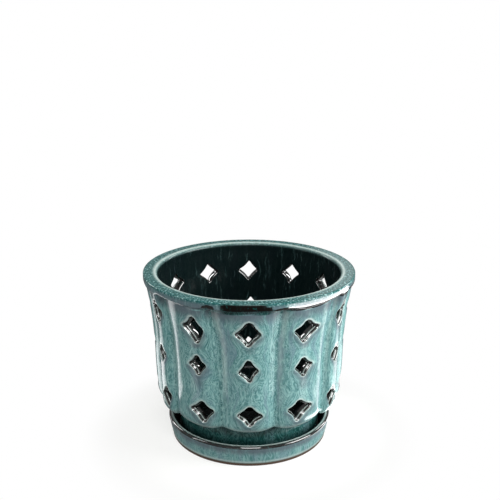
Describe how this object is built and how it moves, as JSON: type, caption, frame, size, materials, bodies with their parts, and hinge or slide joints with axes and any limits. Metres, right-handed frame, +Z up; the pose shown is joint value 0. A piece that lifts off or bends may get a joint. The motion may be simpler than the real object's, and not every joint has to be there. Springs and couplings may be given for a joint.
{
  "type": "orchid pot with saucer",
  "caption": "Lobed glazed ceramic orchid pot with a thick rim, rows of four-pointed air cut-outs and a drain hole, standing in a matching low saucer.",
  "frame": {"origin": "centre of the saucer's underside, on the plane of its foot ring", "axes": "+Z up along the axis of the pot, -Y the front shown in the picture, with a column of cut-outs facing it"},
  "size_m": [0.176, 0.176, 0.1467],
  "materials": {
    "pot_glaze": "glossy mottled teal glaze, dark where it breaks over edges",
    "saucer_glaze": "glossy mottled teal glaze above a bare brown clay foot"
  },
  "bodies": {
    "saucer": {"saucer": "saucer_glaze"},
    "pot": {"pot": "pot_glaze"}
  },
  "joints": [
    {"name": "pot_lift", "type": "slide", "parent": "saucer", "child": "pot", "axis": [0, 0, 1], "range_m": [0, 0.08]}
  ]
}
